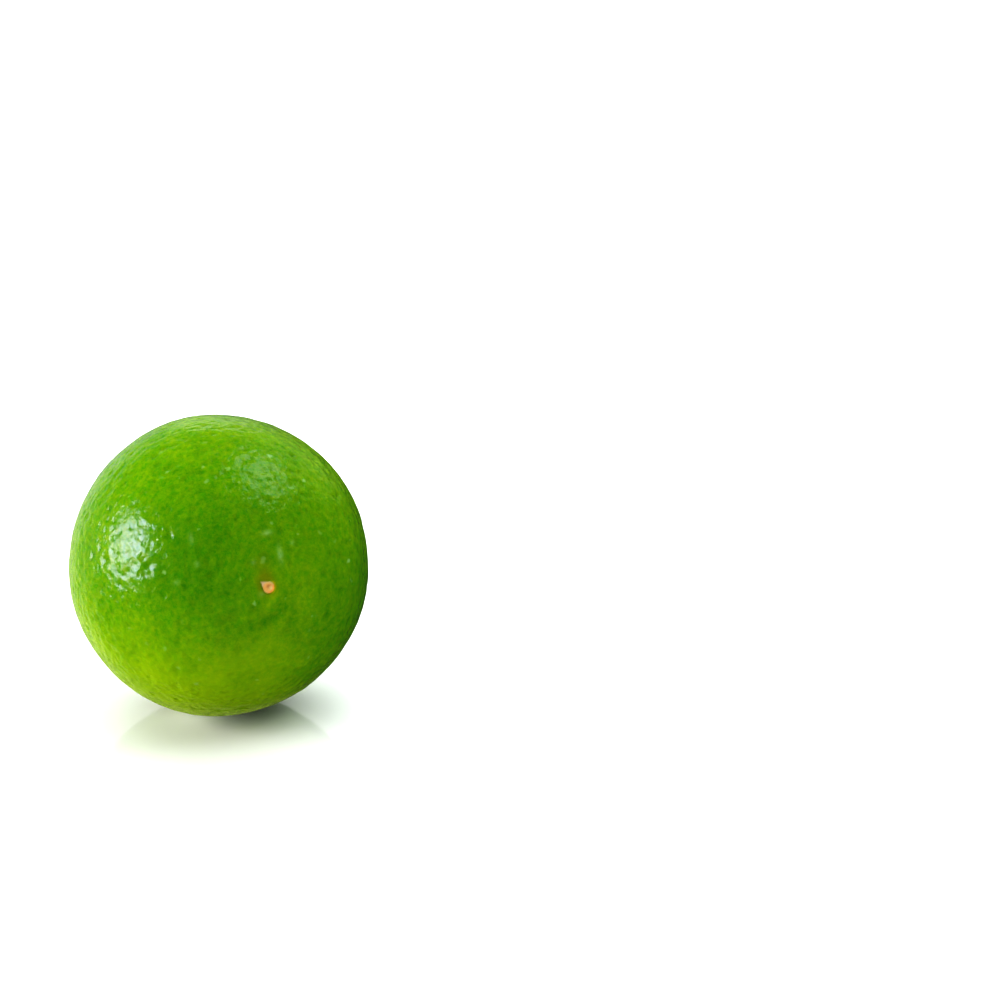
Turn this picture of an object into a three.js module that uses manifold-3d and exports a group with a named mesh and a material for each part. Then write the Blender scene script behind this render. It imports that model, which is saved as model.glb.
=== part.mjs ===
// A whole lime, as picked, lying on its side on a small flat spot, with the calyx button still on its stem end.
// Millimetres, +Z up. The origin is the bottom centre of the lime's box, on the surface that it lies on.
//
// The fruit is one closed solid: a radius for each direction from its centre. In the fruit's own frame +Z is its axis,
// from the stem end towards the flower end, so a direction is a polar angle from the flower end and a turn round the axis.
// The button is a patch of the same surface, lifted clear of the skin and given its own thickness.

import * as THREE from "three";
import { mergeVertices } from "three/addons/utils/BufferGeometryUtils.js";
import Module from "manifold-3d";

// ---- driving dimensions ----
const EQUATOR_RADIUS = 27.0; // half the fruit's width, across its axis
const FLOWER_HALF = 27.7; // from the centre to the flower end, before the nipple
const STEM_HALF = 27.9; // from the centre to the stem end, before the basin
const AXIS_RISE = THREE.MathUtils.degToRad(9); // how far the flower end tips up as the fruit lies
const FLAT_SPOT_DEPTH = 0.4; // how much of the underside the flat spot takes away

// Out of round: shares of the equator's radius, for 2 and 3 waves round the axis, and where each one's crest is.
const OVAL = { waves: 2, share: 0.0067, crest: THREE.MathUtils.degToRad(77) };
const TRILOBE = { waves: 3, share: 0.003, crest: THREE.MathUtils.degToRad(-18) };

// Spreads, reaches and places on the skin are angles from the nearer end, in radians.
const NIPPLE = { height: 0.6, spread: 0.17 };
const NIPPLE_FURROW = { depth: 0.14, at: 0.33, spread: 0.1 };
const SCAR = { radius: 1.2, depth: 0.4, sides: 18 }; // where the flower's style dropped off
const BASIN = { depth: 1.3, spread: 0.26 }; // the hollow that the button sits in
const SEGMENTS = 10; // the grooves round the basin follow the segments inside
const GROOVE = { depth: 0.3, at: 0.4, spread: 0.17 };

const SWELL = { waves: 14, height: 0.075, pitch: 11 }; // slow unevenness, 11 waves to the radian at its finest
const GLANDS = { count: 560, depth: 0.2, spread: 0.05, jitter: 0.3 }; // dimples over the rind's oil glands
const SMOOTH_END = { from: 0.05, to: 0.15 }; // the skin has no relief where the scar and the button are
const FRUIT_DETAIL = 20; // 20 * (detail + 1)^2 triangles

const BUTTON = { gap: 0.3, rim: 0.4, crown: 0.9, lobes: 5, notchReach: 0.1, lobeReach: 0.14 };
const STALK = { radius: 1.2, flare: 0.45, height: 1.1, hollow: 0.35 }; // the stub of the stalk, snapped off short
const BUTTON_TURNS = 60;

const GOLDEN_TURN = Math.PI * (3 - Math.sqrt(5));
const SKIN_COLOUR = 0x4e9a06;
const BUTTON_COLOUR = 0x8a7a4a;

// ---- small helpers ----
const bump = (distance, spread) => Math.exp(-((distance / spread) ** 2));

// A repeatable number from 0 to 1 for a whole number, from the fractional part of a large sine.
function scatter(index, salt) {
  const value = Math.sin(index * 12.9898 + salt * 78.233) * 43758.5453;
  return value - Math.floor(value);
}

// Direction number index of count spread evenly over the sphere along a golden spiral.
function spiralDirection(index, count) {
  const z = 1 - (2 * index + 1) / count;
  const turn = index * GOLDEN_TURN;
  const across = Math.sqrt(1 - z * z);
  return new THREE.Vector3(across * Math.cos(turn), across * Math.sin(turn), z);
}

// ---- the skin ----
// Gland centres: the even spiral, each one pushed a little aside.
function glandCentres({ count, jitter }) {
  const spacing = Math.sqrt((4 * Math.PI) / count);
  return Array.from({ length: count }, (_, index) => {
    const push = new THREE.Vector3(scatter(index, 1), scatter(index, 2), scatter(index, 3));
    push.subScalar(0.5).multiplyScalar(2 * jitter * spacing);
    return spiralDirection(index, count).add(push).normalize();
  });
}

const glands = glandCentres(GLANDS);

// Sum of sines along directions spread over the sphere, from 1 to -1 or so.
function swell(direction) {
  let sum = 0;
  for (let wave = 0; wave < SWELL.waves; wave++) {
    const frequency = SWELL.pitch * (0.45 + (0.55 * wave) / SWELL.waves);
    const along = direction.dot(spiralDirection(wave, SWELL.waves));
    sum += Math.sin(frequency * along + 2 * Math.PI * scatter(wave, 4));
  }
  return sum / Math.sqrt(SWELL.waves / 2);
}

// How deep the dimples are at a direction, from 0 to 1.
function dimple(direction) {
  const reach = 3 * GLANDS.spread;
  let deepest = 0;
  for (const gland of glands) {
    const distance = direction.distanceTo(gland);
    if (distance < reach) deepest = Math.max(deepest, bump(distance, GLANDS.spread));
  }
  return deepest;
}

// The fruit's form without its fine relief: a round body of two half lengths, out of round at the equator, with a
// nipple in a faint furrow at the flower end and a grooved basin at the stem end.
function formRadius(direction) {
  const polar = Math.acos(THREE.MathUtils.clamp(direction.z, -1, 1));
  const fromStem = Math.PI - polar;
  const turn = Math.atan2(direction.y, direction.x);
  const round = [OVAL, TRILOBE].reduce((sum, l) => sum + l.share * Math.cos(l.waves * (turn - l.crest)), 1);
  const half = direction.z > 0 ? FLOWER_HALF : STEM_HALF;
  const body = 1 / Math.hypot(direction.z / half, Math.sin(polar) / (EQUATOR_RADIUS * round));
  const groove = 0.5 + 0.5 * Math.cos(SEGMENTS * turn);
  return (
    body +
    NIPPLE.height * bump(polar, NIPPLE.spread) -
    NIPPLE_FURROW.depth * bump(polar - NIPPLE_FURROW.at, NIPPLE_FURROW.spread) -
    BASIN.depth * bump(fromStem, BASIN.spread) -
    GROOVE.depth * groove * bump(fromStem - GROOVE.at, GROOVE.spread)
  );
}

function skinRadius(direction) {
  const fromEnd = Math.acos(Math.min(1, Math.abs(direction.z)));
  const share = THREE.MathUtils.smoothstep(fromEnd, SMOOTH_END.from, SMOOTH_END.to);
  return formRadius(direction) + share * (SWELL.height * swell(direction) - GLANDS.depth * dimple(direction));
}

// ---- solids ----
const wasm = await Module();
wasm.setup();

function toSolid(geometry) {
  const bare = geometry.clone();
  bare.deleteAttribute("normal");
  bare.deleteAttribute("uv");
  const merged = mergeVertices(bare, 1e-4);
  return new wasm.Manifold(
    new wasm.Mesh({
      numProp: 3,
      vertProperties: merged.attributes.position.array,
      triVerts: new Uint32Array(merged.index.array),
    }),
  );
}

function toGeometry(solid) {
  const mesh = solid.getMesh();
  const geometry = new THREE.BufferGeometry();
  geometry.setAttribute("position", new THREE.BufferAttribute(mesh.vertProperties, 3));
  geometry.setIndex(new THREE.BufferAttribute(mesh.triVerts, 1));
  geometry.computeVertexNormals();
  return geometry;
}

// Every vertex of a unit sphere of even triangles, moved out to the skin.
function skinGeometry() {
  const geometry = new THREE.IcosahedronGeometry(1, FRUIT_DETAIL);
  const position = geometry.getAttribute("position");
  const direction = new THREE.Vector3();
  for (let i = 0; i < position.count; i++) {
    direction.fromBufferAttribute(position, i).normalize();
    direction.multiplyScalar(skinRadius(direction));
    position.setXYZ(i, direction.x, direction.y, direction.z);
  }
  return geometry;
}

// The round pit of the scar, as the bowl that is cut from the nipple's top.
function scarCutter() {
  const above = 2 * SCAR.depth;
  const profile = [
    new THREE.Vector2(0, -SCAR.depth),
    new THREE.Vector2(0.6 * SCAR.radius, -0.85 * SCAR.depth),
    new THREE.Vector2(SCAR.radius, 0),
    new THREE.Vector2(SCAR.radius, above),
    new THREE.Vector2(0, above),
  ];
  const top = skinRadius(new THREE.Vector3(0, 0, 1));
  return new THREE.LatheGeometry(profile, SCAR.sides).rotateX(Math.PI / 2).translate(0, 0, top);
}

// The fruit's attitude as it lies: its axis turned from +Z to the front, -Y, with the flower end tipped up.
const attitude = new THREE.Matrix4().makeRotationX(Math.PI / 2 - AXIS_RISE);

// The lowest height of the whole skin in the attitude that it lies in.
function lowestPoint(geometry) {
  const turned = geometry.clone().applyMatrix4(attitude);
  turned.computeBoundingBox();
  return turned.boundingBox.min.z;
}

// Everything under the flat spot, as a slab in the fruit's own frame.
function belowFlatSpot(height) {
  const side = 4 * EQUATOR_RADIUS;
  const slab = new THREE.BoxGeometry(side, side, side).translate(0, 0, height - side / 2);
  return slab.applyMatrix4(attitude.clone().invert());
}

// The button: rings of points from the stalk's middle out to the lobed rim on the upper side, and back on the underside.
function buttonGeometry() {
  const upper = [0, 0.12, 0.24, 0.34, 0.4, 0.44, 0.5, 0.62, 0.8, 0.93, 1];
  const lower = [1, 0.75, 0.4, 0];
  const height = (share, reach) => {
    const across = share * reach * STEM_HALF;
    const leaf = BUTTON.rim + (BUTTON.crown - BUTTON.rim) * (1 - share ** 2);
    const stub = STALK.height / (1 + Math.exp((across - STALK.radius) / (0.3 * STALK.flare)));
    return leaf + stub - STALK.hollow * bump(across, 0.6 * STALK.radius);
  };
  const rings = [...upper.map((share) => [share, true]), ...lower.map((share) => [share, false])];
  const positions = [];
  rings.forEach(([share, isUpper]) => {
    for (let step = 0; step < BUTTON_TURNS; step++) {
      const turn = (2 * Math.PI * step) / BUTTON_TURNS;
      const lobe = 0.5 + 0.5 * Math.cos(BUTTON.lobes * turn);
      const reach = THREE.MathUtils.lerp(BUTTON.notchReach, BUTTON.lobeReach, lobe);
      const fromStem = share * reach;
      const direction = new THREE.Vector3(
        Math.sin(fromStem) * Math.cos(turn),
        Math.sin(fromStem) * Math.sin(turn),
        -Math.cos(fromStem),
      );
      const lift = BUTTON.gap + (isUpper ? height(share, reach) : 0);
      direction.multiplyScalar(formRadius(direction) + lift);
      positions.push(direction.x, direction.y, direction.z);
    }
  });
  const index = [];
  for (let ring = 0; ring + 1 < rings.length; ring++) {
    for (let step = 0; step < BUTTON_TURNS; step++) {
      const next = (step + 1) % BUTTON_TURNS;
      const [a, b] = [ring * BUTTON_TURNS + step, ring * BUTTON_TURNS + next];
      const [c, d] = [a + BUTTON_TURNS, b + BUTTON_TURNS];
      index.push(a, b, c, b, d, c);
    }
  }
  const geometry = new THREE.BufferGeometry();
  geometry.setAttribute("position", new THREE.Float32BufferAttribute(positions, 3));
  geometry.setIndex(index);
  return geometry;
}

// ---- the object ----
const skin = skinGeometry();
const floorHeight = lowestPoint(skin) + FLAT_SPOT_DEPTH;
const fruitSolid = toSolid(skin).subtract(toSolid(scarCutter())).subtract(toSolid(belowFlatSpot(floorHeight)));

const fruit = new THREE.Mesh(
  toGeometry(fruitSolid),
  new THREE.MeshStandardMaterial({ color: SKIN_COLOUR, roughness: 0.3, metalness: 0 }),
);
fruit.name = "fruit";

const button = new THREE.Mesh(
  toGeometry(toSolid(buttonGeometry())),
  new THREE.MeshStandardMaterial({ color: BUTTON_COLOUR, roughness: 0.8, metalness: 0 }),
);
button.name = "calyx_button";

const lime = new THREE.Group();
lime.add(fruit, button);
lime.applyMatrix4(attitude);

// Stand the flat spot on z = 0, and bring the middle of the plan to the origin.
const box = new THREE.Box3().setFromObject(lime, true);
lime.position.set(-(box.min.x + box.max.x) / 2, -(box.min.y + box.max.y) / 2, -floorHeight);

export default lime;
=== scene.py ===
# %% [markdown]
# # A whole lime, lying on its side
#
# A lime is one body under one skin, so the picture stands or falls with that skin: a round form that is
# never quite round, a shallow pit over each oil gland, a waxy gloss that breaks up in those pits, and a
# green that drifts towards yellow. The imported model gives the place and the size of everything. This
# lesson grows a finer skin and a finer calyx button in the same places, and then lights them.

# %% Load the frame
import math

import bpy
import numpy as np
from mathutils import Matrix, Vector


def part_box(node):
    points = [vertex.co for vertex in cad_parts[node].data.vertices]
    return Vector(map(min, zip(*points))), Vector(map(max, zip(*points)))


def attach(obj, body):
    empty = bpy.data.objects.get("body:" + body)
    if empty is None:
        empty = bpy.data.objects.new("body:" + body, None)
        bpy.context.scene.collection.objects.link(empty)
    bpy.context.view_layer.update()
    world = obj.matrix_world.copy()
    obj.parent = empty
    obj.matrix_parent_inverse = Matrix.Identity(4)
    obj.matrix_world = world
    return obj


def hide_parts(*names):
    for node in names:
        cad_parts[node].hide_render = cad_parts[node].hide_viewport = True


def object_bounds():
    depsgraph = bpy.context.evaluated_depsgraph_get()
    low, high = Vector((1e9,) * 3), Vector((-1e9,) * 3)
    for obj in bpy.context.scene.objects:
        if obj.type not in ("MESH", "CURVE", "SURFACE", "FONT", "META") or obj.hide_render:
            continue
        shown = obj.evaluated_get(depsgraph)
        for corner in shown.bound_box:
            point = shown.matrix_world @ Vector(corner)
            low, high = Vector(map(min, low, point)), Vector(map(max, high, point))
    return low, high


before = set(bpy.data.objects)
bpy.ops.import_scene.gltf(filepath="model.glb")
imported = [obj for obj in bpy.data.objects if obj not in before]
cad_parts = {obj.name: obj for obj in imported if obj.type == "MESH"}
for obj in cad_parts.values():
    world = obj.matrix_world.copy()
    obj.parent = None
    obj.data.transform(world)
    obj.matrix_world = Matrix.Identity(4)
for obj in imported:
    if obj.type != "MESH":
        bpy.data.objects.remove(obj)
cad_low, cad_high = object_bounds()
print("nodes:", ", ".join(sorted(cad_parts)))
print("model box in mm:", [round(1000 * side, 1) for side in cad_high - cad_low])

# %% [markdown]
# ## The form of the fruit
#
# Seen from outside, a lime is a radius for each direction from its middle. It could be sculpted by hand,
# but a formula keeps the fine skin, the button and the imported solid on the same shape, so every piece
# here asks it for its place. The formula works in the fruit's own frame, in millimetres: +Z is the
# fruit's axis, from the stem end to the flower end. Places on the skin are angles in radians from the
# nearer end of that axis.

# %% Sizes of the form
MM = 0.001  # a millimetre, in Blender's metres

EQUATOR_RADIUS = 27.0
FLOWER_HALF = 27.7  # from the middle to the flower end, without the nipple
STEM_HALF = 27.9  # from the middle to the stem end, without the basin
NIPPLE_HEIGHT, NIPPLE_SPREAD = 0.6, 0.17
FURROW_DEPTH, FURROW_AT, FURROW_SPREAD = 0.14, 0.33, 0.1
BASIN_DEPTH, BASIN_SPREAD = 1.3, 0.26
SEGMENTS = 10
GROOVE_DEPTH, GROOVE_AT, GROOVE_SPREAD = 0.3, 0.4, 0.17

# how many waves stand round the equator, their share of the radius, and the turn of a crest
ROUND_WAVES = [(2, 0.0067, math.radians(77)), (3, 0.003, math.radians(-18))]


# %% Small helpers for angles and hills
def bump(distance, spread):
    """A smooth hill, 1 at its middle and gone at twice its spread: e to minus the squared share of it."""
    return np.exp(-((distance / spread) ** 2))


def angle_of(cosine):
    """The angle whose cosine is given, safe against a cosine that rounding has taken past 1."""
    return np.arccos(np.clip(cosine, -1, 1))


def turn_of(place):
    """The turn of each place (n, 2 or 3) round the axis, or round the middle of a flat chart."""
    return np.arctan2(place[:, 1], place[:, 0])


# %% The radius for each direction
def form_radius(direction):
    """Radius in mm for unit directions (n, 3), without relief.

    The body is an ellipsoid with a half length for each end, its equator slightly out of round. A low
    nipple in a faint furrow is added at the flower end, and a hollow basin with a groove for each segment
    at the stem end.
    """
    from_flower = angle_of(direction[:, 2])
    from_stem = np.pi - from_flower
    turn = turn_of(direction)
    round_share = 1 + sum(share * np.cos(waves * (turn - crest)) for waves, share, crest in ROUND_WAVES)
    half = np.where(direction[:, 2] > 0, FLOWER_HALF, STEM_HALF)
    body = 1 / np.hypot(direction[:, 2] / half, np.sin(from_flower) / (EQUATOR_RADIUS * round_share))
    groove = 0.5 + 0.5 * np.cos(SEGMENTS * turn)
    return (
        body
        + NIPPLE_HEIGHT * bump(from_flower, NIPPLE_SPREAD)
        - FURROW_DEPTH * bump(from_flower - FURROW_AT, FURROW_SPREAD)
        - BASIN_DEPTH * bump(from_stem, BASIN_SPREAD)
        - GROOVE_DEPTH * groove * bump(from_stem - GROOVE_AT, GROOVE_SPREAD)
    )


two_ends = form_radius(np.array([[0.0, 0.0, 1.0], [0.0, 0.0, -1.0]]))
print("from the middle to the flower end and the stem end in mm:", two_ends.round(2))

# %% [markdown]
# ## Points on a ball
#
# The usual ball of rings and columns crowds its points at the poles and wastes them there. A cube that is
# blown up into a ball has nearly even squares all over. Its faces meet along shared edges, so the points
# there are counted once, and the skin closes with no seam. The rings round the two ends are then pulled
# in a little, because the scar at the flower end is only 2 mm across and needs smaller squares.

# %% A ball of even squares
CELLS = 128  # squares along each edge of the cube
PULL_SHARE, PULL_SPREAD = 0.55, 0.3  # how much nearer to an end its points are drawn, and over what angle


def cube_ball(cells):
    """Unit directions (n, 3) and quads (m, 4) of a cube blown up into a ball.

    Each point is a whole-number place on the cube's surface. Its coordinates are read as angles from -45
    to 45 degrees, and their tangents, brought to length 1, are the direction. Equal places on two faces
    are one point.
    """
    side = cells + 1
    u, v = np.meshgrid(np.arange(side), np.arange(side), indexing="ij")
    weights = np.array([1, side, side**2])
    quads = []
    for axis in range(3):
        for face in (0, cells):
            place = np.stack([np.full_like(u, face), u, v], axis=-1)
            key = (np.roll(place, axis, axis=-1) * weights).sum(axis=-1)
            corners = [key[:-1, :-1], key[1:, :-1], key[1:, 1:], key[:-1, 1:]]
            quad = np.stack(corners, axis=-1).reshape(-1, 4)
            quads.append(quad if face else quad[:, ::-1])
    keys, quads = np.unique(np.concatenate(quads), return_inverse=True)
    place = np.stack([keys % side, keys // side % side, keys // side**2], axis=1)
    direction = np.tan((2 * place / cells - 1) * np.pi / 4)
    return direction / np.linalg.norm(direction, axis=1, keepdims=True), quads.reshape(-1, 4)


def pull_to_ends(direction):
    """The directions with those near an end of the axis drawn towards it, to give smaller squares there.

    Each angle from the nearer end is cut by a share of itself, and that share fades away from the end as a
    bump does.
    """
    from_flower = angle_of(direction[:, 2])
    from_end = np.minimum(from_flower, np.pi - from_flower)
    pulled = from_end * (1 - PULL_SHARE * bump(from_end, PULL_SPREAD))
    turn = turn_of(direction)
    height = np.sign(direction[:, 2]) * np.cos(pulled)
    return np.stack([np.sin(pulled) * np.cos(turn), np.sin(pulled) * np.sin(turn), height], axis=1)


ball, skin_quads = cube_ball(CELLS)
ball = pull_to_ends(ball)
print("points on the skin:", len(ball), "squares:", len(skin_quads))

# %% [markdown]
# ## The relief of the rind
#
# Under a lime's skin sit some thousands of oil glands, about 2 mm apart, and over each one the skin dips.
# A texture of cells could fake that in the material, but then the outline and the grazing light at the
# edge would stay smooth, so the pits are real geometry. Their centres lie on a golden spiral, which
# spreads points evenly, and each one is pushed a little aside. Slow swells, sums of sine waves that cross
# at all angles, make the light wander as it does on a real fruit. Short puckers run out from under the
# button, where the skin gathers round the stem. The two very ends stay smooth, because the scar and the
# button sit there.

# %% Even directions and repeatable chance
GOLDEN_TURN = np.pi * (3 - math.sqrt(5))
INDEX_STEP, SALT_STEP, SINE_SIZE = 12.9898, 78.233, 43758.5453  # uneven numbers with no meaning


def scatter(index, salt):
    """A repeatable number from 0 to 1 for each whole number and salt: the fraction of a large sine."""
    value = np.sin(index * INDEX_STEP + salt * SALT_STEP) * SINE_SIZE
    return value - np.floor(value)


def spiral(count):
    """Directions spread evenly over the ball: equal steps down the axis, each a golden turn further."""
    index = np.arange(count)
    height = 1 - (2 * index + 1) / count
    across = np.sqrt(1 - height**2)
    turn = index * GOLDEN_TURN
    return np.stack([across * np.cos(turn), across * np.sin(turn), height], axis=1)


# %% Pits over the glands
GLAND_COUNT = 2800
GLAND_JITTER = 0.42  # share of the spacing that a gland may be pushed aside
PIT_DEPTH = 0.1
PIT_SPREAD = 0.58 / EQUATOR_RADIUS  # 0.58 mm on the skin, as an angle
SHALLOWEST, DEEPER = 0.5, 1.5  # shares of the depth: the shallowest pit's, and what the deepest adds
NARROWEST, WIDER = 0.72, 0.6  # the same for the spread
CHUNK = 4096  # directions worked out at once, to save memory


def gland_centres(count):
    """The even spiral with each direction pushed aside by up to a share of the spacing."""
    spacing = math.sqrt(4 * np.pi / count)
    index = np.arange(count)
    push = np.stack([scatter(index, salt) for salt in (1, 2, 3)], axis=1) - 0.5
    centre = spiral(count) + 2 * GLAND_JITTER * spacing * push
    return centre / np.linalg.norm(centre, axis=1, keepdims=True)


def pits(direction, count):
    """How deep in pits each direction is: the sum of a bump over each gland, of its own depth and width."""
    centre = gland_centres(count).astype(np.float32)
    index = np.arange(count)
    depth = (SHALLOWEST + DEEPER * scatter(index, 5) ** 3).astype(np.float32)
    width = (PIT_SPREAD * (NARROWEST + WIDER * scatter(index, 6))).astype(np.float32)
    total = np.empty(len(direction))
    for start in range(0, len(direction), CHUNK):
        part = direction[start : start + CHUNK].astype(np.float32)
        square = np.maximum(2 - 2 * part @ centre.T, 0)
        total[start : start + CHUNK] = (np.exp(-square / width**2) * depth).sum(axis=1)
    return total


pit = pits(ball, GLAND_COUNT)
print("glands:", GLAND_COUNT, "deepest pit in mm:", round(PIT_DEPTH * pit.max(), 2))

# %% Slow swells
COARSEST = 0.45  # the coarsest wave's pitch, as a share of the finest one's

# how many waves, the finest one's pitch in radians of wave for each radius along, height, salt
SWELLS = [(14, 11.0, 0.075, 4), (24, 36.0, 0.022, 7), (60, 85.0, 0.01, 8)]


def swell(direction, waves, pitch, salt):
    """A sum of sine waves along directions spread over the ball, each with its own start, about 1 high."""
    along = direction @ spiral(waves).T
    frequency = pitch * (COARSEST + (1 - COARSEST) * np.arange(waves) / waves)
    start = 2 * np.pi * scatter(np.arange(waves), salt)
    return np.sin(along * frequency + start).sum(axis=1) / math.sqrt(waves / 2)


slow = sum(height * swell(ball, waves, pitch, salt) for waves, pitch, height, salt in SWELLS)
print("swells in mm: from", round(slow.min(), 2), "to", round(slow.max(), 2))

# %% Puckers round the stem, and the whole relief
PUCKERS, PUCKER_DEPTH, PUCKER_AT, PUCKER_SPREAD = 9, 0.18, 0.2, 0.08
PUCKER_DRIFT, PUCKER_START = 1.2, 0.5  # how unevenly the puckers stand round the stem
BARE_END, FULL_RELIEF = 0.06, 0.16  # angles from an end between which the pits and swells come in


def smoothstep(value, low, high):
    """0 below low, 1 above high, and a smooth S between."""
    share = np.clip((value - low) / (high - low), 0, 1)
    return share * share * (3 - 2 * share)


from_end = angle_of(np.abs(ball[:, 2]))
from_stem = angle_of(-ball[:, 2])
turn = turn_of(ball)
pucker_turn = PUCKERS * turn + PUCKER_DRIFT * np.sin(2 * turn + PUCKER_START)
puckers = bump(from_stem - PUCKER_AT, PUCKER_SPREAD) * (0.5 + 0.5 * np.cos(pucker_turn)) ** 2
relief_share = smoothstep(from_end, BARE_END, FULL_RELIEF)
relief = relief_share * (slow - PIT_DEPTH * pit) - PUCKER_DEPTH * puckers
print("relief in mm: from", round(relief.min(), 3), "to", round(relief.max(), 3))

# %% [markdown]
# ## The scar of the style
#
# Where the flower's style dropped off, the flower end keeps a small corky scar: a round disc with one
# pointed corner, a darker dot in its middle, sunk in a shallow pit of the skin. Beside it, the skin
# swells into a low curved ridge. A separate disc could be laid into the pit, but on the fruit the scar is
# grown into the skin, so it is made as part of the same mesh. A flat chart of the flower end, in
# millimetres, says how far each point of the skin is from the scar: +X on it is right and +Y is up, as
# one faces that end.

# %% A chart of the flower end
SCAR_PLACE = np.array([0.3, -0.26])  # of the disc's middle, from the end of the axis
CHART_STRETCH = 0.1  # makes up for the skin that curves away from the flat chart

at_flower = ball[:, 2] > 0
chart = FLOWER_HALF * ball[:, :2] * (1 + CHART_STRETCH * (1 - ball[:, 2:3])) - SCAR_PLACE


def spot(right, up, spread):
    """A bump on the chart whose middle is given from the scar's middle, and 0 on the stem's half."""
    return np.where(at_flower, bump(np.hypot(chart[:, 0] - right, chart[:, 1] - up), spread), 0)


def along(turn_degrees):
    """How far each chart point lies in one direction from the scar's middle."""
    turn = math.radians(turn_degrees)
    return chart @ np.array([math.cos(turn), math.sin(turn)])


near_scar = at_flower & (np.linalg.norm(chart, axis=1) < 2)
print("points within 2 mm of the scar:", int(near_scar.sum()))

# %% The scar's outline
SCAR_RADIUS = 1.01
SCAR_CORNER = 1.76  # from the disc's middle to the corner's tip
SCAR_CORNER_TURN = math.radians(141)
SCAR_CORNER_HALF = math.acos(SCAR_RADIUS / SCAR_CORNER)
CORK_FULL, CORK_END = 0.9, 1.08  # shares of the outline between which the cork gives way to skin
OFF_CHART = 99  # a share far outside the outline, for the stem's half


def scar_share(chart):
    """How far out a chart point is, as a share of the scar's outline: 1 on the outline, less inside.

    The outline is a circle with a straight-sided corner. The corner's two sides touch the circle, so its
    radius there is the circle's over the cosine of the turn from where the side touches.
    """
    turn = turn_of(chart) - SCAR_CORNER_TURN
    turn = np.abs((turn + np.pi) % (2 * np.pi) - np.pi)
    outline = SCAR_RADIUS / np.cos(np.maximum(SCAR_CORNER_HALF - turn, 0))
    return np.hypot(chart[:, 0], chart[:, 1]) / outline


share_out = np.where(at_flower, scar_share(chart), OFF_CHART)
on_scar = 1 - smoothstep(share_out, CORK_FULL, CORK_END)
print("points on the scar:", int((on_scar > 0.5).sum()))

# %% The scar's height, and the ridge beside it
SCAR_RISE, RISE_FULL, RISE_END = 0.14, 0.8, 1.05  # of the disc, and the shares where it slopes down
SCAR_PIT_RIGHT, SCAR_PIT_UP, SCAR_PIT_SPREAD, SCAR_PIT_DEPTH = -0.1, 0.35, 1.9, 0.32
HOLLOW_DEPTH, HOLLOW_SPREAD = 0.12, 0.4  # in the disc's middle, the spread as a share of the outline
CREASE_DEPTH, CREASE_AT, CREASE_SPREAD = 0.04, 1.12, 0.12  # round the disc, as shares of the outline
RIDGE_MIDDLE = np.array([-3.9, -0.3])  # of the ridge's arc, from the scar's middle
RIDGE_RADIUS, RIDGE_WIDTH, RIDGE_RISE = 5.4, 1.0, 0.2
RIDGE_TURN = math.radians(-55)  # from the arc's middle to where the ridge is highest
RIDGE_FAINT, RIDGE_FULL = 0.5, 0.92  # cosines of the turn from there, where the ridge starts and is full

ridge_way = chart - RIDGE_MIDDLE
ridge_reach = np.linalg.norm(ridge_way, axis=1)
ridge_aim = ridge_way @ np.array([math.cos(RIDGE_TURN), math.sin(RIDGE_TURN)]) / (ridge_reach + 1e-9)
on_arc = np.where(at_flower, smoothstep(ridge_aim, RIDGE_FAINT, RIDGE_FULL), 0)
scar_height = (
    -SCAR_PIT_DEPTH * spot(SCAR_PIT_RIGHT, SCAR_PIT_UP, SCAR_PIT_SPREAD)
    + SCAR_RISE * (1 - smoothstep(share_out, RISE_FULL, RISE_END))
    - HOLLOW_DEPTH * bump(share_out, HOLLOW_SPREAD)
    - CREASE_DEPTH * bump(share_out - CREASE_AT, CREASE_SPREAD)
    + RIDGE_RISE * on_arc * bump(ridge_reach - RIDGE_RADIUS, RIDGE_WIDTH)
)
print("scar's relief in mm: from", round(scar_height.min(), 2), "to", round(scar_height.max(), 2))

# %% [markdown]
# ## Tones of the flower end
#
# Cork is not one colour: the disc's upper edge is tan, its lower right edge is warm, the dry corner is
# greyish, and the dot is brown. Round it, painted shade darkens the crease on its lower left, a thin
# orange line of painted light lies just outside its right edge, and a brownish halo darkens the skin
# above it and to its left. A few pale smears lie near it, and the one below and left of it is a painted
# glint. An image would do, but each tone here is a number from 0 to 1 on the mesh's points, so it stays
# sharp from near by and follows the shape. Distances are in millimetres on the chart, and shares are of
# the scar's outline.

# %% Tones of the cork and the skin round it
edge_of_scar = bump(share_out - CREASE_AT, 0.14)
rim_of_scar = smoothstep(share_out, 0.5, 0.85)
halo_parts = [
    spot(-0.45, 1.75, 1.35),
    0.35 * spot(-0.7, 3.9, 1.7),
    0.3 * bump(share_out - 1.5, 0.45),
    0.45 * spot(-1.6, 0.0, 0.8),
]
end_tones = {
    "scar": on_scar,
    "scar_tan": rim_of_scar * smoothstep(along(80), 0, 0.6),
    "scar_corner": smoothstep(along(math.degrees(SCAR_CORNER_TURN)), 0.7, 1.3),
    "scar_warm": rim_of_scar * smoothstep(along(-40), 0.1, 0.75),
    "scar_pale": spot(0.36, -0.2, 0.36),
    "scar_dot": spot(-0.02, 0.15, 0.4),
    # painted shade in the crease, on the scar's lower left
    "scar_crease_shade": edge_of_scar * smoothstep(along(225), 0.1, 0.8),
    # painted light: a thin orange line just outside the scar's right edge, where the pit's wall faces the
    # light
    "scar_edge_light": bump(share_out - CREASE_AT, 0.16) * smoothstep(along(-5), 0.3, 0.9),
    "halo": np.clip(sum(halo_parts), 0, 1),
}
print("tones round the scar:", ", ".join(end_tones))
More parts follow.
